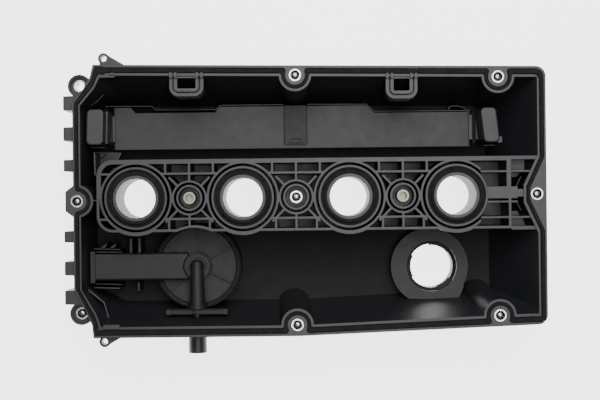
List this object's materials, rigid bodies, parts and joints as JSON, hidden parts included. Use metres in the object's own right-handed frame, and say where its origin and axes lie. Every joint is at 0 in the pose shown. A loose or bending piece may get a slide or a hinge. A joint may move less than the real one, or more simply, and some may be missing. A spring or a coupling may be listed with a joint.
{
  "type": "engine valve cover",
  "caption": "Ribbed black plastic valve cover, engine side up, with plug wells, edge gasket, sleeved bolts, oil filler hole, oil baffle and a breather separator with nipple.",
  "frame": {"origin": "centre of the plug row, which is the centre fixing bolt's axis, at the flange's joint plane", "axes": "+X along the plug row, +Y across it towards the bank with the oil baffle, +Z out of the open side towards the engine"},
  "size_m": [0.3884, 0.2447, 0.0752],
  "materials": {
    "glass_filled_nylon": "matte moulded",
    "gasket_rubber": "satin",
    "seal_rubber": "satin",
    "turned_steel": "turned, bright",
    "zinc_plated_steel": "zinc plated",
    "olive_passivated_steel": "passivated, dull",
    "blackened_steel": "blackened",
    "moulded_nylon_grey": "matte moulded",
    "moulded_nylon_light": "matte moulded",
    "moulded_nylon_dark": "satin moulded",
    "diaphragm_rubber": "matte",
    "diaphragm_plate_plastic": "matte moulded",
    "spring_steel": "drawn wire"
  },
  "bodies": {
    "cover": {"cover_shell": "glass_filled_nylon", "perimeter_gasket": "gasket_rubber", "plug_well_seal_1": "seal_rubber", "plug_well_seal_2": "seal_rubber", "plug_well_seal_3": "seal_rubber", "plug_well_seal_4": "seal_rubber", "bolt_sleeves": "turned_steel", "cover_bolts": "zinc_plated_steel", "coil_inserts": "olive_passivated_steel", "ear_sleeves": "blackened_steel", "baffle_plate": "moulded_nylon_grey", "baffle_clip_left": "moulded_nylon_light", "baffle_clip_middle": "moulded_nylon_light", "baffle_clip_right": "moulded_nylon_light", "separator_disc": "moulded_nylon_dark", "inlet_duct": "moulded_nylon_dark", "outlet_tube": "moulded_nylon_dark", "outlet_bracket": "moulded_nylon_dark", "breather_diaphragm": "diaphragm_rubber", "diaphragm_spring": "spring_steel", "breather_cap": "glass_filled_nylon"},
    "regulator_plate": {"diaphragm_plate": "diaphragm_plate_plastic"}
  },
  "joints": [
    {"name": "regulator_lift", "type": "slide", "parent": "cover", "child": "regulator_plate", "axis": [0, 0, 1], "range_m": [0, 0.003], "stiffness_N_per_m": 150, "deforming": ["diaphragm_spring", "breather_diaphragm"]}
  ]
}
